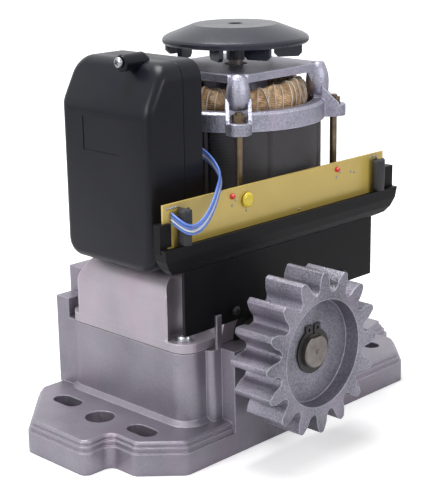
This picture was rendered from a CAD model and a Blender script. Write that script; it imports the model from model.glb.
# %% [markdown]
# # A sliding gate motor, dressed for the render
# The solids of this machine come from CAD, and they arrive here already in place. Each cell
# below takes one piece or one finish of the real machine, says what it is made of, and
# builds it. The first cell loads the solids and keeps the size of the whole machine.
# Lengths are in metres, and the few lists that are drawn in millimetres are multiplied by MM.

# %% Load the frame
import math
import bmesh
import bpy
from mathutils import Matrix, Vector


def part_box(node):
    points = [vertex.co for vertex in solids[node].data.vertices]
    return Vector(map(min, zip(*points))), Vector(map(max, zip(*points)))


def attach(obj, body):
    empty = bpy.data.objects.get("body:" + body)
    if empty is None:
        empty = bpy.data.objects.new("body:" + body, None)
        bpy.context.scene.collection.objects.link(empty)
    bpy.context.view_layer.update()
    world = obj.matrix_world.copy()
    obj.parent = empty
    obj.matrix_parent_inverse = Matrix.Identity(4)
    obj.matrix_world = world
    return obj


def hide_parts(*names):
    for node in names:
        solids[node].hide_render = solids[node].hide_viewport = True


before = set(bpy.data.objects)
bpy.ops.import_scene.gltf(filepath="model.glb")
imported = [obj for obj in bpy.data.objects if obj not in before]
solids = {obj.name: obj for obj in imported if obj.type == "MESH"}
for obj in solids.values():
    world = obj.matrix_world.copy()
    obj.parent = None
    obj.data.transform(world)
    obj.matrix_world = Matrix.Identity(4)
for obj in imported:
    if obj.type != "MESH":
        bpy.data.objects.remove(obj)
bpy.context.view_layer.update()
scene = bpy.context.scene
MM = 0.001
print(len(solids), "solids loaded")

# %% [markdown]
# ## The camera
# The camera stands ahead and to the left of the machine, a little above it, with a long
# lens, so that the upright edges stay nearly parallel. Its direction is written as a
# vector, and the turn about that direction keeps the machine level in the frame. The plain
# view transform shows each colour as it is written.

# %% Camera
EYE_AT = (-0.650, -0.634, 0.369)
LOOK_ALONG = (0.68195, 0.67816, -0.27396)
ROLL_DEGREES = -0.97
LENS_MM, SENSOR_MM = 95.5, 36.0


def aimed(direction, roll):
    """A camera's rotation: looking along a direction, turned about it by roll degrees."""
    look = Vector(direction).normalized()
    right = look.cross(Vector((0, 0, 1))).normalized()
    up = right.cross(look)
    c, s = math.cos(math.radians(roll)), math.sin(math.radians(roll))
    across, upright = right * c + up * s, up * c - right * s
    return Matrix((across, upright, -look)).transposed().to_4x4()


eye = bpy.data.objects.new("studio_camera", bpy.data.cameras.new("studio_camera"))
scene.collection.objects.link(eye)
eye.matrix_world = Matrix.Translation(EYE_AT) @ aimed(LOOK_ALONG, ROLL_DEGREES)
eye.data.lens, eye.data.sensor_width = LENS_MM, SENSOR_MM
scene.camera = eye
scene.view_settings.view_transform = "Standard"
print("camera at", [round(c, 3) for c in eye.location])

# %% [markdown]
# ## Light
# A soft lamp on the left and a larger one overhead give the castings their pale edges, and
# a weak one fills the front. The world is grey for the light that it sends, and white only
# where the camera, a reflection or clear plastic looks at it, so that the background stays
# white while the object isn't washed out.

# %% Lamps and world
WORLD_SENT, WORLD_SEEN = 0.28, 1.0


def lamp(name, place, target, size, power):
    """A square soft lamp of this size in metres and power in watts, turned to its target."""
    light = bpy.data.lights.new(name, "AREA")
    light.size, light.energy = size, power
    obj = bpy.data.objects.new(name, light)
    scene.collection.objects.link(obj)
    obj.location = place
    obj.rotation_euler = (Vector(target) - Vector(place)).to_track_quat("-Z", "Y").to_euler()


middle = (0.0, 0.0, 0.12)
lamp("left_softbox", (-1.6, 0.15, 0.8), middle, 0.7, 11)
lamp("top_softbox", (-0.1, 0.25, 1.7), middle, 0.8, 27)
lamp("front_strip", (0.1, -1.9, 0.9), middle, 0.5, 8)

world = bpy.data.worlds.new("studio")
scene.world = world
world.use_nodes = True
sky = world.node_tree
seen = sky.nodes.new("ShaderNodeLightPath").outputs


def sky_math(operation, *values):
    """The output of one Math node in the world's tree."""
    made = sky.nodes.new("ShaderNodeMath")
    made.operation = operation
    for socket, value in zip(made.inputs, values):
        if isinstance(value, float):
            socket.default_value = value
        else:
            sky.links.new(value, socket)
    return made.outputs[0]


shown = sky_math("MAXIMUM", seen["Is Camera Ray"], seen["Is Transmission Ray"])
shown = sky_math("MAXIMUM", shown, seen["Is Glossy Ray"])
strength = sky_math("MULTIPLY_ADD", shown, WORLD_SEEN - WORLD_SENT, WORLD_SENT)
sky.nodes["Background"].inputs["Color"].default_value = (1, 1, 1, 1)
sky.links.new(strength, sky.nodes["Background"].inputs["Strength"])

# %% [markdown]
# ## Shader maths written as expressions
# A material is easier to read as a sum than as a row of boxes. `Signal` wraps one socket,
# and the usual signs add the Math nodes. `Nodes` is anything that owns a node tree: its
# `node` method adds a node, settings first and then its sockets. `Finish` is one material.

# %% Signal and Finish
MIX_SHARE, MIX_FIRST, MIX_SECOND, MIX_COLOUR = 0, 6, 7, 2


class Signal:
    """One socket of a node tree, which can be added, multiplied and subtracted."""

    def __init__(self, tree, socket):
        self.tree, self.socket = tree, socket

    def math(self, operation, other, flipped=False):
        """One Math node on this signal and another value."""
        pair = (other, self) if flipped else (self, other)
        given = {index: value for index, value in enumerate(pair) if value is not None}
        return add_node(self.tree, "ShaderNodeMath", {"operation": operation}, given)

    def __add__(self, other):
        return self.math("ADD", other)

    def __sub__(self, other):
        return self.math("SUBTRACT", other)

    def __rsub__(self, other):
        return self.math("SUBTRACT", other, True)

    def __mul__(self, other):
        return self.math("MULTIPLY", other)

    def __truediv__(self, other):
        return self.math("DIVIDE", other)

    def __pow__(self, other):
        return self.math("POWER", other)

    def sine(self):
        return self.math("SINE", None)

    def cosine(self):
        return self.math("COSINE", None)

    def limited(self):
        """The value held between 0 and 1."""
        return self.math("MAXIMUM", 0.0).math("MINIMUM", 1.0)


def feed(tree, socket, value):
    """A socket linked to a signal, or else set to a value; three numbers make a colour."""
    if isinstance(value, Signal):
        tree.links.new(value.socket, socket)
    elif socket.type == "RGBA":
        socket.default_value = (*value, 1.0)
    else:
        socket.default_value = value


def add_node(tree, kind, settings, sockets, out=0):
    """A node with its settings made first, then its sockets, and one of its outputs."""
    made = tree.nodes.new(kind)
    for key, value in settings.items():
        setattr(made, key, value)
    for key, value in sockets.items():
        feed(tree, made.inputs[key], value)
    return Signal(tree, made.outputs[out])


class Nodes:
    """Anything with a node tree of its own."""

    def node(self, kind, settings=None, out=0, **sockets):
        """One more node; a socket's name has _ where it shows a space."""
        named = {key.replace("_", " "): value for key, value in sockets.items()}
        return add_node(self.tree, kind, settings or {}, named, out)


class Finish(Nodes):
    """A material on the Principled shader, read in object coordinates."""

    def __init__(self, name, roughness=0.5, metallic=0.0, **fixed):
        self.material = bpy.data.materials.new(name)
        self.material.use_nodes = True
        self.tree = self.material.node_tree
        self.shader = self.tree.nodes["Principled BSDF"]
        self.set(Roughness=roughness, Metallic=metallic, **fixed)
        self.place = self.node("ShaderNodeTexCoord", out="Object")

    def axis(self, letter):
        """One coordinate of the place on the object, in metres."""
        return self.node("ShaderNodeSeparateXYZ", out=letter, Vector=self.place)

    def noise(self, size, detail=3.0, stretch=None, roughness=0.5):
        """Cloudy noise from 0 to 1, with patches of about this size in metres."""
        where = self.place
        if stretch:
            where = self.node("ShaderNodeMapping", Vector=self.place, Scale=stretch)
        return self.node("ShaderNodeTexNoise", out="Fac", Vector=where, Scale=1.0 / size,
                         Detail=detail, Roughness=roughness)

    def grains(self, size):
        """Distance to the nearest grain's middle, for sand-cast skins."""
        return self.node("ShaderNodeTexVoronoi", out="Distance", Vector=self.place,
                         Scale=1.0 / size)

    def mixed(self, share, first, second):
        """A colour between two colours."""
        return add_node(self.tree, "ShaderNodeMix", {"data_type": "RGBA"},
                        {MIX_SHARE: share, MIX_FIRST: first, MIX_SECOND: second}, MIX_COLOUR)

    def set(self, **sockets):
        """Feeds the shader's own sockets."""
        for key, value in sockets.items():
            feed(self.tree, self.shader.inputs[key.replace("_", " ")], value)
        return self

    def worn_edges(self, radius, sharpness=5.0):
        """Near 1 along the edges, where handling polishes a casting, and 0 on its faces."""
        rounded_off = self.node("ShaderNodeBevel", {"samples": 6}, Radius=radius)
        flat = self.node("ShaderNodeNewGeometry", out="Normal")
        alike = add_node(self.tree, "ShaderNodeVectorMath", {"operation": "DOT_PRODUCT"},
                         {0: rounded_off, 1: flat}, "Value")
        return ((1.0 - alike) * sharpness).limited()

    def bumped(self, height, depth, strength=1.0, soft=0.0):
        """Raises the surface by a height times a depth, and rounds the edges that light meets."""
        sockets = {"Height": height, "Distance": depth, "Strength": strength}
        if soft:
            sockets["Normal"] = self.node("ShaderNodeBevel", {"samples": 4}, Radius=soft)
        return self.set(Normal=self.node("ShaderNodeBump", **sockets))


# %% [markdown]
# ## Cast metal
# The foot, the gearbox cover and the cage over the winding are aluminium castings. A
# casting has a fine sandy skin, broad cloudy tones and faint violet stains, and its edges
# are polished by handling. Noise at several sizes gives the first three, and the edges are
# where a rounded normal leaves the flat one. The pinion is a coarser casting in steel, and
# the stator's painted sheets follow the same rule without worn edges.

# %% Castings
CLOUD_SIZE, STAIN_SIZE = 0.045, 0.028
STAIN_TINT, STAIN_MOST = (0.86, 0.70, 0.80), 0.55
WORN_BRIGHTER = 1.45


def casting(name, light, dark, rough, metal, grain, depth, soft=0.0012, grit=0.8):
    """Cast metal with skin grains of this size, bumps this deep and edges this soft."""
    finish = Finish(name, metallic=metal)
    cloud = finish.noise(CLOUD_SIZE, 4.0)
    fine = finish.noise(grain * 1.3, 4.0, roughness=0.7)
    speck = finish.grains(grain)
    tone = finish.mixed((cloud * 1.6 - 0.35 + (fine - 0.5) * grit).limited(), dark, light)
    stain = finish.noise(STAIN_SIZE, 3.0, (1.0, 1.0, 0.6))
    violet = tuple(channel * tint for channel, tint in zip(light, STAIN_TINT))
    colour = finish.mixed((stain * 3.0 - 1.35).limited() * STAIN_MOST, tone, violet)
    if soft:
        bright = tuple(min(1.0, channel * WORN_BRIGHTER) for channel in light)
        worn = finish.worn_edges(soft * 1.2) * (fine * 0.8 + 0.3)
        colour = finish.mixed(worn, colour, bright)
    finish.set(Base_Color=colour, Roughness=(fine * 0.35 + rough).limited())
    return finish.bumped(fine * 0.6 + speck * 0.6, depth, 0.5, soft)


FINISHES = {
    "foot": casting("cast_foot", light=(0.36, 0.34, 0.39), dark=(0.20, 0.19, 0.225),
                    rough=0.25, metal=0.75, grain=0.0011, depth=0.00025, grit=1.1),
    "cover": casting("cast_cover", light=(0.50, 0.455, 0.51), dark=(0.34, 0.31, 0.35),
                     rough=0.28, metal=0.6, grain=0.0010, depth=0.0002),
    "cage": casting("cast_cage", light=(0.52, 0.52, 0.63), dark=(0.19, 0.19, 0.235),
                    rough=0.20, metal=0.8, grain=0.0012, depth=0.0006, grit=1.6),
    "stack": casting("stator_sheet", light=(0.085, 0.082, 0.088), dark=(0.05, 0.048, 0.053),
                     rough=0.30, metal=0.5, grain=0.0012, depth=0.00005, soft=0.0),
    "gear": casting("cast_gear", light=(0.40, 0.395, 0.46), dark=(0.11, 0.108, 0.132),
                    rough=0.26, metal=0.8, grain=0.0009, depth=0.0008, grit=2.0),
}
print("cast finishes:", len(FINISHES))

# %% [markdown]
# ## Machined and plated metal
# Turned steel shows fine rings round its axis, which a noise squeezed along one axis gives.
# Plated screws are bright with a slightly uneven zinc skin, and the tie rods have gone
# brown.

# %% Metals
def turned_metal(name, colour, worn, rough, metal=0.9, pitch=0.0004):
    """Turned or plated metal with fine rings, and with patches of its worn colour."""
    finish = Finish(name, metallic=metal)
    rings = finish.noise(pitch * 3, 2.0, (1.0, 6.0, 1.0))
    stain = finish.noise(0.006, 4.0)
    finish.set(Base_Color=finish.mixed((stain * 1.8 - 0.5).limited(), colour, worn),
               Roughness=(rings * 0.25 + rough).limited())
    return finish.bumped(rings, 0.00003, 0.6)


FINISHES.update({
    "steel": turned_metal("turned_steel", (0.25, 0.225, 0.21), (0.12, 0.105, 0.10), 0.32),
    "zinc": turned_metal("zinc_plate", (0.44, 0.44, 0.47), (0.26, 0.26, 0.29), 0.18),
    "bearing": turned_metal("bearing_steel", (0.6, 0.6, 0.62), (0.5, 0.5, 0.52), 0.18),
    "rod": turned_metal("brown_rod", (0.24, 0.18, 0.115), (0.11, 0.08, 0.055), 0.20, metal=0.8),
    "bronze": turned_metal("gear_bronze", (0.5, 0.34, 0.14), (0.36, 0.22, 0.09), 0.3),
    "black_steel": turned_metal("black_steel", (0.025, 0.025, 0.028), (0.06, 0.055, 0.05), 0.32,
                                metal=0.5),
})

# %% [markdown]
# ## Plastics, paper and paint
# The control box is a moulding with a very fine spark-eroded skin, the board's holder is
# plainer black, and the fan is blue-black and glossier. Each moulding is even all over:
# dust and wear change its roughness more than its colour.

# %% Plastics
def moulded(name, colour, dusty, rough, grain=0.0006, depth=0.00006, stain=0.03, **fixed):
    """Moulded plastic with a fine skin, and with patches where dust has settled."""
    finish = Finish(name, **fixed)
    skin = finish.noise(grain, 2.0)
    dust = finish.noise(stain, 5.0)
    finish.set(Base_Color=finish.mixed((dust * 1.5 - 0.4).limited(), colour, dusty),
               Roughness=(dust * 0.18 + skin * 0.06 + rough).limited())
    return finish.bumped(skin, depth, 0.4)


FINISHES.update({
    "box": moulded("box_moulding", (0.005, 0.0055, 0.0105), (0.008, 0.0085, 0.014), 0.20,
                   Specular_IOR_Level=0.24),
    "holder": moulded("holder_moulding", (0.004, 0.004, 0.005), (0.008, 0.008, 0.010), 0.30,
                      Specular_IOR_Level=0.14),
    "fan": moulded("fan_moulding", (0.008, 0.010, 0.021), (0.013, 0.016, 0.030), 0.15,
                   depth=0.00003, Specular_IOR_Level=0.6),
    "rubber": moulded("seal_rubber", (0.012, 0.012, 0.012), (0.03, 0.03, 0.03), 0.6),
    "paper": moulded("gasket_paper", (0.10, 0.095, 0.09), (0.16, 0.15, 0.14), 0.7),
    "nylon": moulded("white_nylon", (0.70, 0.70, 0.66), (0.6, 0.6, 0.56), 0.4),
    "relay": moulded("relay_case", (0.02, 0.06, 0.16), (0.03, 0.07, 0.18), 0.25),
    "terminal": moulded("terminal_green", (0.04, 0.20, 0.09), (0.06, 0.24, 0.11), 0.35),
    "capacitor": moulded("capacitor_case", (0.70, 0.70, 0.66), (0.6, 0.6, 0.56), 0.35),
    "lamp": moulded("lamp_red", (0.80, 0.03, 0.02), (0.62, 0.02, 0.02), 0.12, Coat_Weight=0.6),
    "disc": moulded("disc_yellow", (0.84, 0.66, 0.02), (0.75, 0.56, 0.02), 0.15,
                    Coat_Weight=0.6),
    "wire_blue": moulded("wire_blue", (0.10, 0.20, 0.62), (0.14, 0.26, 0.68), 0.25),
    "wire_white": moulded("wire_white", (0.72, 0.74, 0.80), (0.62, 0.64, 0.72), 0.25),
})

# %% [markdown]
# ## Winding, thread, braid and board
# Varnish pools in the winding, so its brown is darker between the strands. The board is a
# golden laminate, and its fibres and a cloudy tone shift its colour a little. The braid is
# two crossing waves, which give the small raised diamonds of a woven tube.

# %% Winding, thread, braid and board
winding_look = Finish("varnished_copper", roughness=0.32, metallic=0.25, Coat_Weight=0.4)
pool = winding_look.noise(0.004, 4.0)
winding_look.set(Base_Color=winding_look.mixed((pool * 1.9 - 0.5).limited(),
                                               (0.30, 0.145, 0.05), (0.98, 0.70, 0.42)))
FINISHES["winding"] = winding_look.bumped(pool, 0.0002, 0.4)
FINISHES["thread"] = moulded("lacing_thread", (0.92, 0.88, 0.80), (0.74, 0.64, 0.50), 0.7,
                             grain=0.0004, depth=0.0001, stain=0.003)
board_look = Finish("golden_laminate", roughness=0.35, Coat_Weight=0.35)
fibre = board_look.noise(0.0016, 2.0, (1.0, 1.0, 3.0))
cast_tone = board_look.noise(0.03, 3.0)
board_look.set(Base_Color=board_look.mixed((fibre * 0.5 + cast_tone * 0.8 - 0.15).limited(),
                                           (0.56, 0.405, 0.085), (0.74, 0.555, 0.15)))
FINISHES["board"] = board_look.bumped(fibre, 0.00003, 0.5)
braid_look = Finish("black_braid", roughness=0.62)
WEAVE_FREQUENCY = 4200.0
round_, upward = braid_look.axis("X"), braid_look.axis("Z")
weave = ((round_ + upward) * WEAVE_FREQUENCY).sine() * ((round_ - upward) * WEAVE_FREQUENCY).sine()
braid_look.set(Base_Color=braid_look.mixed((weave * 0.5 + 0.5).limited(),
                                           (0.010, 0.010, 0.012), (0.05, 0.05, 0.055)))
FINISHES["braid"] = braid_look.bumped(weave, 0.0003, 0.6)

# %% [markdown]
# ## Which solid wears which finish
# Most CAD pieces already have the right shape, so each only swaps its plain material for
# one of the finishes. The material goes on the object's own slots and the mesh stays as
# it is.

# %% Dress the solids
WEARS = {
    "foot": ["gearbox_base"],
    "cover": ["gearbox_cover"],
    "cage": ["end_bell", "release_lever"],
    "gear": ["drive_pinion"],
    "stack": ["rotor_core", "stator_core"],
    "steel": ["output_shaft", "shaft_key", "worm_shaft", "release_spindle"],
    "zinc": ["cover_screws", "box_screw"],
    "bearing": ["shaft_bearing_outer_rings", "shaft_bearing_inner_rings",
                "motor_bearing_outer_rings", "motor_bearing_inner_rings"],
    "rod": ["tie_rods", "tie_rod_nuts"],
    "bronze": ["worm_wheel"],
    "winding": ["winding_upper", "winding_lower"],
    "black_steel": ["circlip", "holder_screws"],
    "box": ["control_box_cover", "control_box_back"],
    "holder": ["limit_board_holder", "reed_sleeves"],
    "fan": ["fan"],
    "rubber": ["shaft_seal"],
    "paper": ["gearbox_gasket"],
    "nylon": ["board_spacers"],
    "relay": ["relays"],
    "terminal": ["terminal_block"],
    "capacitor": ["run_capacitor"],
    "lamp": ["board_lamps"],
    "disc": ["board_disc"],
    "board": ["limit_board", "control_board"],
}


def wear(obj, finish):
    """Puts one finish on an object in place of what it had."""
    obj.data.materials.clear()
    obj.data.materials.append(finish.material)


for look, names in WEARS.items():
    for name in names:
        wear(solids[name], FINISHES[look])
print("dressed", sum(len(names) for names in WEARS.values()), "solids")

# %% [markdown]
# ## The board's wires
# Four thin wires leave the back of the control box, swing out past the motor and come back
# to the left end of the board. Each is a smooth NURBS curve on the same route points, set
# a little aside from its neighbour, with a round bevel for its thickness.

# %% Wires
WIRE_DIAMETER = 1.5 * MM
WIRE_STEP_MM = 1.95
WIRE_BOW_MM = (-1.3, -0.9, 0.1)
WIRE_ROUTE = [
    (-63.0, -28.0, 200.0), (-56.0, -30.0, 197.0), (-48.0, -35.0, 190.0), (-50.0, -46.0, 182.0),
    (-60.0, -56.0, 179.5), (-72.0, -66.0, 178.5), (-83.0, -72.0, 170.0), (-93.0, -74.0, 162.0),
    (-102.0, -74.0, 159.0), (-109.2, -71.5, 162.0), (-109.2, -61.9, 166.5),
]


def wire_points(lean):
    """The route, moved aside by one wire's place in the bundle and spread along its loop."""
    points = []
    for k, (x, y, z) in enumerate(WIRE_ROUTE):
        bow = math.sin(math.pi * k / (len(WIRE_ROUTE) - 1))
        aside = [lean * share * bow for share in WIRE_BOW_MM]
        points.append(Vector((x + aside[0], y + aside[1], z + lean * WIRE_STEP_MM + aside[2])) * MM)
    return points


for number in range(4):
    points = wire_points(number - 1.5)
    curve = bpy.data.curves.new("wire_%d" % (number + 1), "CURVE")
    curve.dimensions = "3D"
    curve.bevel_depth, curve.bevel_resolution, curve.use_fill_caps = WIRE_DIAMETER / 2, 4, True
    spline = curve.splines.new("NURBS")
    spline.points.add(len(points) - 1)
    for control, place in zip(spline.points, points):
        control.co = (*place, 1.0)
    spline.order_u = 3
    spline.use_endpoint_u = True
    spline.resolution_u = 12
    wire = bpy.data.objects.new("wire_%d" % (number + 1), curve)
    scene.collection.objects.link(wire)
    wear(wire, FINISHES["wire_white" if number == 1 else "wire_blue"])
    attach(wire, "housing")
    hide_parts("board_wire_%d" % (number + 1))

# %% [markdown]
# ## Geometry Nodes from a script
# Sheets, strands, thread, screws and blades repeat, so a rule makes them. `Plan` holds one
# Geometry Nodes tree with named sizes. `grow` ends the tree with Realize Instances and Set
# Material, sets the sizes on a modifier, and keeps the evaluated mesh as a plain piece.

# %% Plan
class Plan(Nodes):
    """A Geometry Nodes tree with named sizes."""

    def __init__(self, name, **sizes):
        self.tree = bpy.data.node_groups.new(name, "GeometryNodeTree")
        sockets = self.tree.interface
        sockets.new_socket("Geometry", in_out="INPUT", socket_type="NodeSocketGeometry")
        sockets.new_socket("Geometry", in_out="OUTPUT", socket_type="NodeSocketGeometry")
        self.sizes, self.identifiers = sizes, {}
        for key, value in sizes.items():
            kind = "NodeSocketInt" if isinstance(value, int) else "NodeSocketFloat"
            made = sockets.new_socket(key, in_out="INPUT", socket_type=kind)
            self.identifiers[key] = made.identifier
        self.start = self.tree.nodes.new("NodeGroupInput")

    def size(self, key):
        """One of the named sizes."""
        return Signal(self.tree, self.start.outputs[key])

    def start_mesh(self):
        """The mesh that the tree starts from."""
        return self.size("Geometry")

    def joined(self, *parts):
        """Several geometries as one, in the order that they are named."""
        made = self.tree.nodes.new("GeometryNodeJoinGeometry")
        for part in reversed(parts):
            self.tree.links.new(part.socket, made.inputs[0])
        return Signal(self.tree, made.outputs[0])

    def grow(self, name, geometry, finish, start=None):
        """A plain mesh object made by the tree."""
        whole = self.node("GeometryNodeRealizeInstances", Geometry=geometry)
        whole = self.node("GeometryNodeSetMaterial", Geometry=whole, Material=finish.material)
        end = self.tree.nodes.new("NodeGroupOutput")
        self.tree.links.new(whole.socket, end.inputs[0])
        obj = bpy.data.objects.new(name, start or bpy.data.meshes.new(name + "_start"))
        scene.collection.objects.link(obj)
        modifier = obj.modifiers.new(name, "NODES")
        modifier.node_group = self.tree
        for key, value in self.sizes.items():
            modifier[self.identifiers[key]] = value
        bake(obj)
        obj.data.name = name
        print(name, len(obj.data.polygons), "faces")
        return obj


def bake(obj):
    """Gives an object the mesh that its modifiers make, and removes them."""
    bpy.context.view_layer.update()
    shaped = obj.evaluated_get(bpy.context.evaluated_depsgraph_get())
    made = bpy.data.meshes.new_from_object(shaped)
    obj.modifiers.clear()
    obj.data = made


def combined(obj, other, operation, overlapping=False):
    """Cuts another object away or joins it on, and removes that other object."""
    change = obj.modifiers.new(operation.lower(), "BOOLEAN")
    change.object, change.operation, change.solver = other, operation, "EXACT"
    change.use_self = overlapping
    bake(obj)
    bpy.data.objects.remove(other)


def object_of(form, name):
    """A linked object with a bmesh's mesh; the bmesh is freed."""
    obj = bpy.data.objects.new(name, bpy.data.meshes.new(name))
    form.to_mesh(obj.data)
    form.free()
    scene.collection.objects.link(obj)
    return obj


def span_mm(*nodes):
    """The low and high corners of the box round some solids, in millimetres."""
    return [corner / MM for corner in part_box(*nodes)]


def placed_at(x, y, z=0.0, turned=0.0):
    """A move to a place, after a turn in degrees about Z."""
    return Matrix.Translation((x, y, z)) @ Matrix.Rotation(math.radians(turned), 4, "Z")


def keep(obj, slot, *nodes, body="housing"):
    """Hands a finished piece to the frame: its body, the solids it stands for, its slot."""
    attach(obj, body)
    if nodes:
        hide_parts(*nodes)


# %% [markdown]
# ## The stator stack
# The stator is a pile of thin steel sheets, punched to one outline and welded down eight
# grooves. Drawing each sheet by hand would take hours. Here one outline is extruded to a
# sheet, and the sheet is set on a line of points up the motor's axis. A slightly smaller
# core closes the gaps between the edges.

# %% Stator stack
GROOVES_FROM_RODS_DEGREES = 20.3
CORE_SHARE = 0.994
stack_low, stack_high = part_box("stator_core")
motor_axis = (stack_low + stack_high) / 2
stack_radius = (stack_high.x - stack_low.x) / 2


def sheet_outline(radius, steps=192, groove=0.0012, half_width=math.radians(1.6)):
    """The punched outline: round, with a weld groove each side of the four rods."""
    middles = [math.radians(45 + 90 * quarter + side * GROOVES_FROM_RODS_DEGREES)
               for quarter in range(4) for side in (-1, 1)]
    points = []
    for step in range(steps):
        angle = 2 * math.pi * step / steps
        off = min(abs((angle - middle + math.pi) % (2 * math.pi) - math.pi) for middle in middles)
        reach = radius - groove * max(0.0, 1.0 - off / half_width)
        points.append((reach * math.cos(angle), reach * math.sin(angle), 0.0))
    return points


outline = sheet_outline(stack_radius)
blank = bpy.data.meshes.new("sheet_blank")
blank.from_pydata(outline, [], [list(range(len(outline)))])
stack = Plan("stator_stack", Sheets=64, Height=stack_high.z - stack_low.z, Gap=0.22)
pitch = stack.size("Height") / stack.size("Sheets")
plate = stack.node("GeometryNodeExtrudeMesh", {"mode": "FACES"}, Mesh=stack.start_mesh(),
                   Offset_Scale=pitch * (1.0 - stack.size("Gap")), Individual=False)
rise = stack.node("ShaderNodeCombineXYZ", Z=pitch)
places = stack.node("GeometryNodeMeshLine", Count=stack.size("Sheets"), Offset=rise)
sheets = stack.node("GeometryNodeInstanceOnPoints", Points=places, Instance=plate)
core = stack.node("GeometryNodeTransform", Geometry=stack.start_mesh(),
                  Scale=(CORE_SHARE, CORE_SHARE, 1.0))
core = stack.node("GeometryNodeExtrudeMesh", {"mode": "FACES"}, Mesh=core,
                  Offset_Scale=stack.size("Height") * 0.998, Individual=False)
lifted = stack.node("GeometryNodeTransform", Geometry=stack.joined(sheets, core),
                    Translation=(motor_axis.x, motor_axis.y, stack_low.z))
stator = stack.grow("stator_sheets", lifted, FINISHES["stack"], blank)
keep(stator, "stack_steel", "stator_core")

# %% [markdown]
# ## The end winding
# Above the stack the copper turns leave their slots and are pressed into one lumpy ring,
# varnished golden brown and laced with thread. One wire runs round and round the motor's
# axis while it creeps about the ring's section, and the thread does the opposite: it
# whips quickly about the section while it goes round once. So a single law, `on_bundle`,
# places the strands, the core under them and the lacing.

# %% End winding
RING_RADIUS, RING_HEIGHT = 0.0436, 0.0117
HALF_WIDE, HALF_TALL = 0.0054, 0.0104
wind_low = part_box("winding_upper")[0]


def on_bundle(plan, around, about, lift):
    """A place on the ring: around the motor's axis, about the section, lifted outwards."""
    lumps = (around * 4.0 + 0.9).sine()
    sway = (around * 3.0 + 2.1).sine()
    lean = (around + math.radians(55)).cosine()
    wide = lumps * 0.0010 + sway * 0.0005 + HALF_WIDE + lift
    tall = lumps * 0.0010 + sway * 0.0008 + lean * 0.0010 + HALF_TALL + lift
    ripple = (around * 23.0 + about * 3.0).sine() * 0.0004
    ripple = ripple + (around * 11.0 - about * 2.0).sine() * 0.0006
    out = about.cosine() * wide + RING_RADIUS + ripple + sway * 0.0004
    high = about.sine() * tall + RING_HEIGHT + lumps * 0.0006 + lean * 0.0006 + ripple
    return plan.node("ShaderNodeCombineXYZ", X=around.cosine() * out, Y=around.sine() * out,
                     Z=high)


def centred(plan, geometry):
    """The winding's parts, moved from the origin to the top of the stack."""
    return plan.node("GeometryNodeTransform", Geometry=geometry,
                     Translation=(motor_axis.x, motor_axis.y, wind_low.z))


def wound(plan, rounds, about_turns, steps, thickness, lift, sides, drift=0.0):
    """A tube that goes so many times round the axis and about the section, with a drift."""
    index = plan.node("GeometryNodeInputIndex")
    share = index / (rounds * steps)
    line = plan.node("GeometryNodeMeshLine", Count=int(rounds * steps) + 1)
    around = share * (2 * math.pi * rounds)
    about = share * (2 * math.pi * about_turns) + (around * 7.0).sine() * drift
    spot = on_bundle(plan, around, about, lift)
    line = plan.node("GeometryNodeSetPosition", Geometry=line, Position=spot)
    path = plan.node("GeometryNodeMeshToCurve", Mesh=line)
    profile = plan.node("GeometryNodeCurvePrimitiveCircle", Resolution=sides, Radius=thickness / 2)
    return plan.node("GeometryNodeCurveToMesh", Curve=path, Profile_Curve=profile, Fill_Caps=True)


coil = Plan("end_winding", Strand=0.00095)
strands = wound(coil, rounds=58, about_turns=1, steps=96, thickness=coil.size("Strand"),
                lift=0.0, sides=6)
grid = coil.node("GeometryNodeMeshGrid", Size_X=2 * math.pi, Size_Y=2 * math.pi,
                 Vertices_X=97, Vertices_Y=25)
where = coil.node("GeometryNodeInputPosition")
along, across = (coil.node("ShaderNodeSeparateXYZ", out=letter, Vector=where) for letter in "XY")
skin = coil.node("GeometryNodeSetPosition", Geometry=grid,
                 Position=on_bundle(coil, along, across, -0.0002))
skin = coil.node("GeometryNodeMergeByDistance", Geometry=skin, Distance=0.00002)
winding = coil.grow("end_winding", centred(coil, coil.joined(strands, skin)), FINISHES["winding"])
keep(winding, "copper_winding", "winding_upper")

lace = Plan("winding_lace", Thread=0.0008)
thread = wound(lace, rounds=1, about_turns=38, steps=38 * 22, thickness=lace.size("Thread"),
               lift=0.0006, sides=5, drift=2.2)
second = wound(lace, rounds=1, about_turns=-17, steps=17 * 30, thickness=lace.size("Thread"),
               lift=0.0009, sides=5, drift=1.6)
lacing = lace.grow("winding_lace", centred(lace, lace.joined(thread, second)), FINISHES["thread"])
keep(lacing, "nylon")

# %% [markdown]
# ## Screws
# Four pan-head screws with a cross recess and a plain washer hold the two halves of the
# gearbox, and a smaller one closes the control box. The head is a profile turned round its
# axis, and the cross is cut with a Boolean. Geometry Nodes then set the head on a point for
# each screw, turned by its own seeded angle, because no two screws stop at the same turn.

# %% Screws
WASHER_THICKNESS, WASHER_REACH = 0.0011, 1.22
CROSS_LONG, CROSS_WIDE, CROSS_TALL = 1.15, 0.26, 1.1
FLANGE_BELOW_SCREW_TOPS = 4.5
COVER_SCREWS_XY = [(-85.5, -46.5), (-85.5, 51.0), (67.0, -48.5), (67.0, 51.0)]
BOX_HEAD_DEPTH = 2.4


def turned_mesh(name, profile, steps=40):
    """A closed mesh turned about Z from (radius, height) points, ends on the axis."""
    form = bmesh.new()
    verts = [form.verts.new((radius, 0.0, height)) for radius, height in profile]
    edges = [form.edges.new(pair) for pair in zip(verts, verts[1:])]
    bmesh.ops.spin(form, geom=verts + edges, axis=(0, 0, 1), cent=(0, 0, 0), steps=steps,
                   angle=2 * math.pi, use_duplicate=False)
    bmesh.ops.remove_doubles(form, verts=form.verts, dist=1e-6)
    bmesh.ops.recalc_face_normals(form, faces=form.faces)
    mesh = bpy.data.meshes.new(name)
    form.to_mesh(mesh)
    form.free()
    return mesh


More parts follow.
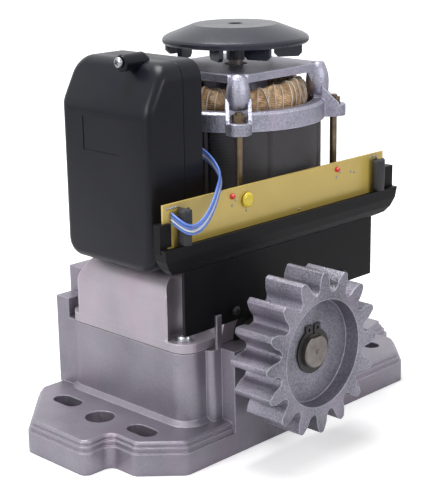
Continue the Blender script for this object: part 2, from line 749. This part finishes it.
def add_box(form, x, y, z):
    """Adds a box of this size round the origin."""
    for vert in bmesh.ops.create_cube(form, size=1.0)["verts"]:
        vert.co = Vector((vert.co.x * x, vert.co.y * y, vert.co.z * z))


def cross_head(name, radius, height, washer):
    """A pan head of this size with a cross recess, standing on a washer."""
    base = WASHER_THICKNESS if washer else 0.0
    profile = [(0, 0)]
    if washer:
        profile += [(radius * WASHER_REACH, 0), (radius * WASHER_REACH, base)]
    profile += [(radius * out, base + height * up) for out, up in
                ((1.0, 0.0), (1.0, 0.35), (0.9, 0.7), (0.62, 0.93), (0.3, 1.0), (0.0, 1.0))]
    head = bpy.data.objects.new(name, turned_mesh(name, profile))
    scene.collection.objects.link(head)
    form = bmesh.new()
    add_box(form, radius * CROSS_LONG, radius * CROSS_WIDE, height * CROSS_TALL)
    add_box(form, radius * CROSS_WIDE, radius * CROSS_LONG, height * CROSS_TALL)
    cross = object_of(form, name + "_cross")
    cross.location.z = base + height
    combined(head, cross, "DIFFERENCE", overlapping=True)
    return head


def screwed(name, head, places, finish, axis="Z"):
    """The head, set on every place with its own seeded angle; along X it faces -X."""
    if axis == "X":
        head.data.transform(Matrix.Rotation(-math.pi / 2, 4, "Y"))
    plan = Plan(name, Seed=7)
    model = plan.node("GeometryNodeObjectInfo", out="Geometry", Object=head)
    spin = plan.node("FunctionNodeRandomValue", {"data_type": "FLOAT"}, out=1, Min=0.0, Max=1.5,
                     Seed=plan.size("Seed"))
    own = plan.node("ShaderNodeCombineXYZ", **{axis: spin})
    heads = plan.node("GeometryNodeInstanceOnPoints", Points=plan.start_mesh(), Instance=model,
                      Rotation=own)
    points = bpy.data.meshes.new(name + "_places")
    points.from_pydata([Vector(place) * MM for place in places], [], [])
    made = plan.grow(name, heads, finish, points)
    bpy.data.objects.remove(head)
    return made


flange_z = span_mm("cover_screws")[1].z - FLANGE_BELOW_SCREW_TOPS
cover_head = cross_head("cover_head", radius=0.0055, height=0.0034, washer=True)
cover_heads = screwed("cover_screw_heads", cover_head,
                      [(x, y, flange_z) for x, y in COVER_SCREWS_XY], FINISHES["zinc"])
keep(cover_heads, "zinc_steel", "cover_screws")
screw_low, screw_high = span_mm("box_screw")
screw_middle = (screw_low + screw_high) / 2
box_place = (screw_low.x + BOX_HEAD_DEPTH, screw_middle.y, screw_middle.z)
small_head = cross_head("box_head", radius=0.0034, height=0.0022, washer=False)
box_head = screwed("box_screw_head", small_head, [box_place], FINISHES["zinc"], axis="X")
keep(box_head, "zinc_steel", "box_screw")

# %% [markdown]
# ## The control box
# The box is a tall moulding with rounded corners, and the top of its face leans back to
# the screw. It starts as a straight prism. A bevel rounds its corners, one plane cuts the
# slope, and a second bevel softens the rim. A shallow tray in the face is left for a
# label, and a round boss carries the screw.

# %% Control box
LID_BELOW_SOLID = 6.5
CORNER_RADIUS, CORNER_STEPS = 12.0, 8
FACE_SLOPE = (15.0, 28.0)
FRONT_RIM, REAR_RIM, RIM_STEPS = 6.0, 0.6, 6
RIM_SHARPER_THAN_DEGREES = 25
SEAM_GAP = 0.2
TRAY_SIZE, TRAY_Y, TRAY_Z = (0.8, 34.0, 22.0), 8.0, 208.0
BOSS_PROFILE = [(0, 0), (0.0046, 0), (0.0054, 0.0010), (0.0056, 0.018), (0.0036, 0.0215),
                (0, 0.022)]
BOSS_BEHIND_SCREW, BOSS_BELOW_SCREW = 3.4, 0.6


def bevelled(form, edges, radius, steps):
    """Rounds some edges to a radius in millimetres."""
    bmesh.ops.bevel(form, geom=edges, offset=radius * MM, segments=steps, profile=0.5,
                    affect="EDGES", clamp_overlap=True)


def kinds(items, kind):
    """The vertices or the edges among a bmesh operator's results."""
    return [item for item in items if isinstance(item, kind)]


def sloped_block(name, x_low, x_high, rim, slope=None):
    """A prism along X with rounded corners, its -X face cut back at the top by a slope."""
    low, high = span_mm("control_box_cover")
    top = high.z - LID_BELOW_SOLID
    outline = [(low.y, low.z), (high.y, low.z), (high.y, top), (low.y, top)]
    form = bmesh.new()
    face = form.faces.new([form.verts.new(Vector((x_low, y, z)) * MM) for y, z in outline])
    pushed = bmesh.ops.extrude_face_region(form, geom=[face])["geom"]
    bmesh.ops.translate(form, vec=Vector((x_high - x_low, 0, 0)) * MM,
                        verts=kinds(pushed, bmesh.types.BMVert))
    bmesh.ops.recalc_face_normals(form, faces=form.faces)
    corners = [edge for edge in form.edges
               if abs(edge.verts[0].co.x - edge.verts[1].co.x) > 1 * MM]
    bevelled(form, corners, CORNER_RADIUS, CORNER_STEPS)
    if slope:
        deep, tall = slope
        cut = bmesh.ops.bisect_plane(form, geom=form.verts[:] + form.edges[:] + form.faces[:],
                                     plane_co=Vector((x_low, 0, top - tall)) * MM,
                                     plane_no=Vector((-tall, 0, deep)).normalized(),
                                     clear_outer=True)["geom_cut"]
        bmesh.ops.contextual_create(form, geom=kinds(cut, bmesh.types.BMEdge))
        bmesh.ops.recalc_face_normals(form, faces=form.faces)
    form.normal_update()
    rim_angle = math.radians(RIM_SHARPER_THAN_DEGREES)
    rims = [edge for edge in form.edges
            if len(edge.link_faces) == 2 and edge.calc_face_angle() > rim_angle
            and min(face.normal.x for face in edge.link_faces) < -0.5]
    bevelled(form, rims, rim, RIM_STEPS)
    return object_of(form, name)


def angled_smooth(obj, degrees=30):
    """Smooth shading, with the sharp edges kept."""
    obj.data.shade_smooth()
    sharp = bmesh.new()
    sharp.from_mesh(obj.data)
    for edge in sharp.edges:
        edge.smooth = len(edge.link_faces) != 2 or edge.calc_face_angle() < math.radians(degrees)
    sharp.to_mesh(obj.data)
    sharp.free()


box_low, box_high = span_mm("control_box_cover")
box_front = sloped_block("box_front", box_low.x, box_high.x - SEAM_GAP, FRONT_RIM, FACE_SLOPE)
tray_form = bmesh.new()
add_box(tray_form, *(side * MM for side in TRAY_SIZE))
tray = object_of(tray_form, "label_tray")
tray.location = Vector((box_low.x, TRAY_Y, TRAY_Z)) * MM
combined(box_front, tray, "DIFFERENCE")
boss = bpy.data.objects.new("screw_boss", turned_mesh("screw_boss", BOSS_PROFILE))
boss.data.transform(Matrix.Rotation(math.pi / 2, 4, "Y"))
boss.location = Vector((screw_low.x + BOSS_BEHIND_SCREW, screw_middle.y,
                        screw_middle.z - BOSS_BELOW_SCREW)) * MM
scene.collection.objects.link(boss)
combined(box_front, boss, "UNION")
angled_smooth(box_front)
wear(box_front, FINISHES["box"])
keep(box_front, "box_plastic", "control_box_cover")
back_low, back_high = span_mm("control_box_back")
box_rear = sloped_block("box_rear", back_low.x, back_high.x, REAR_RIM)
angled_smooth(box_rear)
wear(box_rear, FINISHES["box"])
keep(box_rear, "box_plastic", "control_box_back")

# %% [markdown]
# ## The fan
# A flat crown with a shallow dish, a bevelled skirt with a rounded rim, a narrow hub, and
# short blades that hang under the rim. The blade is drawn once, and Geometry Nodes set it
# round the axis.

# %% Fan
CROWN_Z = 0.2686
BLADE_SLANT_DEGREES = 38
BLADE_THICKNESS = 0.0032
BLADE_FROM_RIM = 0.0095
FIRST_BLADE = 0.15
fan_low, fan_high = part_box("fan")
fan_middle = (fan_low + fan_high) / 2
fan_radius = (fan_high.x - fan_low.x) / 2
top_side = [(0, 0.0006), (0.0048, 0.0006), (0.0052, 0), (0.0292, 0), (0.0305, 0.0004)]
rim_side = [(0.0030, 0.0070), (0.0008, 0.0083), (0, 0.0096), (0, 0.0115), (0.0008, 0.0126),
            (0.0026, 0.0126), (0.0034, 0.0100)]
under_side = [(0.0290, 0.0030), (0.0065, 0.0030), (0.0065, CROWN_Z - fan_low.z),
              (0, CROWN_Z - fan_low.z)]
rim_side = [(fan_radius - inward, down) for inward, down in rim_side]
fan_profile = [(out, CROWN_Z - down) for out, down in top_side + rim_side + under_side]
disc = turned_mesh("fan_disc", fan_profile, steps=96)
blade_outline = [(-0.0105, CROWN_Z - 0.0050), (-0.0105, 0.2505), (-0.0080, 0.2480),
                 (0.0060, 0.2480), (0.0085, 0.2505), (0.0085, CROWN_Z - 0.0100),
                 (0.0, CROWN_Z - 0.0070)]
blade = bmesh.new()
side_face = blade.faces.new([blade.verts.new((x, -BLADE_THICKNESS / 2, z))
                             for x, z in blade_outline])
pushed = bmesh.ops.extrude_face_region(blade, geom=[side_face])["geom"]
bmesh.ops.translate(blade, vec=(0, BLADE_THICKNESS, 0), verts=kinds(pushed, bmesh.types.BMVert))
blade.transform(placed_at(fan_radius - BLADE_FROM_RIM, 0, turned=BLADE_SLANT_DEGREES))
bmesh.ops.recalc_face_normals(blade, faces=blade.faces)
one_blade = object_of(blade, "fan_blade")
ring = Plan("fan_whole", Blades=9)
model = ring.node("GeometryNodeObjectInfo", out="Geometry", Object=one_blade)
spots = ring.node("GeometryNodeMeshLine", Count=ring.size("Blades"), Offset=(0.0, 0.0, 0.0))
share = (ring.node("GeometryNodeInputIndex") + FIRST_BLADE) / ring.size("Blades")
turn = ring.node("ShaderNodeCombineXYZ", Z=share * (2 * math.pi))
blades = ring.node("GeometryNodeInstanceOnPoints", Points=spots, Instance=model, Rotation=turn)
whole_fan = ring.node("GeometryNodeTransform", Geometry=ring.joined(ring.start_mesh(), blades),
                      Translation=(fan_middle.x, fan_middle.y, 0.0))
fan = ring.grow("fan_whole", whole_fan, FINISHES["fan"], disc)
bpy.data.objects.remove(one_blade)
angled_smooth(fan, degrees=10)
keep(fan, "fan_plastic", "fan", body="rotor")

# %% [markdown]
# ## The columns of the cage
# Each leg of the cage is a rounded column, thicker than the web behind it, that ends above
# the nut of its tie rod.

# %% Cage columns
COLUMN_FROM_AXIS = 0.0565
column = turned_mesh("cage_column", [
    (0, 0.2190), (0.0066, 0.2190), (0.0078, 0.2202), (0.0081, 0.2280), (0.0076, 0.2330),
    (0.0062, 0.2375), (0.0046, 0.2412), (0, 0.2418)], steps=32)
columns = bmesh.new()
for quarter in range(4):
    copy = column.copy()
    copy.transform(placed_at(motor_axis.x, motor_axis.y, turned=45 + 90 * quarter)
                   @ placed_at(COLUMN_FROM_AXIS, 0))
    columns.from_mesh(copy)
cage_columns = object_of(columns, "cage_columns")
cage_columns.data.shade_smooth()
wear(cage_columns, FINISHES["cage"])
keep(cage_columns, "cast_aluminium")

# %% [markdown]
# ## The bosses under the tie rods
# Each tie rod screws into a round boss on the shoulder of the gearbox cover, and a web
# joins the boss to the motor's seat.

# %% Rod bosses
ROD_RADIUS = 0.0025
WEB_SIZE, WEB_INWARD, WEB_UP = (0.016, 0.0125, 0.0145), 0.0085, 0.0050
rod_low, rod_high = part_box("tie_rods")
boss_profile = [(out, rod_low.z + up) for out, up in (
    (0, -0.002), (0.0060, -0.002), (0.0078, 0.003), (0.0078, 0.0125), (0.0070, 0.0135),
    (0, 0.0135))]
bosses = bmesh.new()
for x in (rod_low.x + ROD_RADIUS, rod_high.x - ROD_RADIUS):
    for y in (rod_low.y + ROD_RADIUS, rod_high.y - ROD_RADIUS):
        round_part = turned_mesh("rod_boss", boss_profile, steps=28)
        round_part.transform(placed_at(x, y))
        bosses.from_mesh(round_part)
        web_form = bmesh.new()
        add_box(web_form, *WEB_SIZE)
        inward = Vector((motor_axis.x - x, motor_axis.y - y, 0)).normalized()
        middle_of_web = Vector((x, y, rod_low.z + WEB_UP)) + inward * WEB_INWARD
        web_form.transform(placed_at(*middle_of_web, math.degrees(math.atan2(inward.y, inward.x))))
        web = bpy.data.meshes.new("rod_web")
        web_form.to_mesh(web)
        web_form.free()
        bosses.from_mesh(web)
rod_bosses = object_of(bosses, "rod_bosses")
angled_smooth(rod_bosses, degrees=40)
wear(rod_bosses, FINISHES["cover"])
keep(rod_bosses, "cast_aluminium")

# %% [markdown]
# ## Solder, lamps and sleeves on the board
# The board carries two red lamps, one yellow dipped disc, and two reed switches in braided
# sleeves. Small shiny solder domes mark the legs. The lamps and the disc are turned shapes
# with rounded ends, and the sleeves are tubes whose cut tops fray unevenly, from a fixed
# seed.

# %% Board parts
SLEEVE_OUT, SLEEVE_RADIUS = 5.0, 4.7
board_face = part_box("limit_board")[0].y


def stood_out(name, profile, places, finish, slot, *nodes, steps=28):
    """Turned pieces that stand out of the board's face at each (x, z) place."""
    mesh = turned_mesh(name, profile, steps)
    form = bmesh.new()
    for x, z in places:
        copy = mesh.copy()
        copy.transform(placed_at(x * MM, board_face, z * MM) @ Matrix.Rotation(math.pi / 2, 4, "X"))
        form.from_mesh(copy)
    obj = object_of(form, name)
    obj.data.shade_smooth()
    wear(obj, finish)
    keep(obj, slot, *nodes)


lamp_profile = [(0, 0.0), (0.0019, 0.0), (0.0019, 0.0009), (0.0015, 0.0010), (0.0015, 0.0017),
                (0.0012, 0.0023), (0.0006, 0.00258), (0, 0.0026)]
stood_out("red_lamps", lamp_profile, [(-55.0, 170.0), (49.5, 170.0)], FINISHES["lamp"],
          "red_lamp", "board_lamps")
disc_profile = [(0, 0.0004), (0.0030, 0.0005), (0.0046, 0.0011), (0.0050, 0.0018),
                (0.0046, 0.0025), (0.0030, 0.0030), (0, 0.0030)]
stood_out("dipped_disc", disc_profile, [(-41.8, 165.5)], FINISHES["disc"], "yellow_disc",
          "board_disc")
solder_profile = [(0, 0.0), (0.0010, 0.0), (0.0008, 0.0003), (0.0003, 0.0007), (0, 0.0008)]
solder_places = [(-112.0 + 2.3 * k, 172.4) for k in range(5)] + [
    (-55.0, 164.0), (-51.5, 167.0), (49.5, 164.5), (53.0, 167.5), (65.0, 166.0), (68.5, 165.0),
    (86.0, 172.5), (89.5, 172.8), (93.0, 172.3), (-41.8, 158.5), (10.0, 149.5)]
stood_out("solder_joints", solder_profile, solder_places, FINISHES["zinc"], "zinc_steel", steps=12)


def sleeve(form, x, low, high, radius, seed, sides=28, rows=9):
    """A braided tube with a frayed top, closed at both ends."""
    middle_y = board_face / MM - SLEEVE_OUT
    rings = []
    for row in range(rows + 1):
        share = row / rows
        ring = []
        for side in range(sides):
            angle = 2 * math.pi * side / sides
            fray = 0.9 * math.sin(5 * angle + seed) + 0.6 * math.sin(9 * angle + 2 * seed)
            reach = radius - 0.35 + 0.25 * math.sin(3 * angle + 4 * share + seed)
            height = low + (high - low) * share + (fray - 1.3 if row == rows else 0.0)
            spot = (x + reach * math.cos(angle), middle_y + reach * math.sin(angle), height)
            ring.append(form.verts.new(Vector(spot) * MM))
        rings.append(ring)
    for lower, upper in zip(rings, rings[1:]):
        for side in range(sides):
            after = (side + 1) % sides
            form.faces.new((lower[side], lower[after], upper[after], upper[side]))
    form.faces.new(list(reversed(rings[0])))
    form.faces.new(rings[-1])


tubes = bmesh.new()
sleeve_low, sleeve_high = (corner.z for corner in span_mm("reed_sleeves"))
for seed, x in ((0.4, -101.8), (2.0, 90.0)):
    sleeve(tubes, x, sleeve_low, sleeve_high, SLEEVE_RADIUS, seed)
sleeves = object_of(tubes, "braided_sleeves")
sleeves.data.shade_smooth()
wear(sleeves, FINISHES["braid"])
keep(sleeves, "holder_plastic", "reed_sleeves")

# %% [markdown]
# ## The floor
# A plain floor catches the shadow. It shines a little for the camera alone, and more where
# the lamps no longer reach, so that it comes out pale while the castings take no extra
# light from it.

# %% Floor
GLOW_NEAR, GLOW_FAR = (0.42, 0.42, 0.42), (0.92, 0.92, 0.92)
GLOW_PER_METRE, GLOW_LESS = 0.6, 0.1
FLOOR_HALF_SIDE = 30.0
floor_finish = Finish("pale_floor", roughness=0.9)
camera_ray = floor_finish.node("ShaderNodeLightPath", out="Is Camera Ray")
out_x, out_y = floor_finish.axis("X"), floor_finish.axis("Y")
far_off = ((out_x * out_x + out_y * out_y) ** 0.5 * GLOW_PER_METRE - GLOW_LESS).limited()
glow = floor_finish.mixed(far_off, GLOW_NEAR, GLOW_FAR)
floor_finish.set(Base_Color=(0.86, 0.86, 0.87), Emission_Strength=1.0,
                 Emission_Color=floor_finish.mixed(camera_ray, (0.0, 0.0, 0.0), glow))
sheet = bmesh.new()
bmesh.ops.create_grid(sheet, x_segments=2, y_segments=2, size=FLOOR_HALF_SIDE)
ground = object_of(sheet, "studio_floor")
wear(ground, floor_finish)
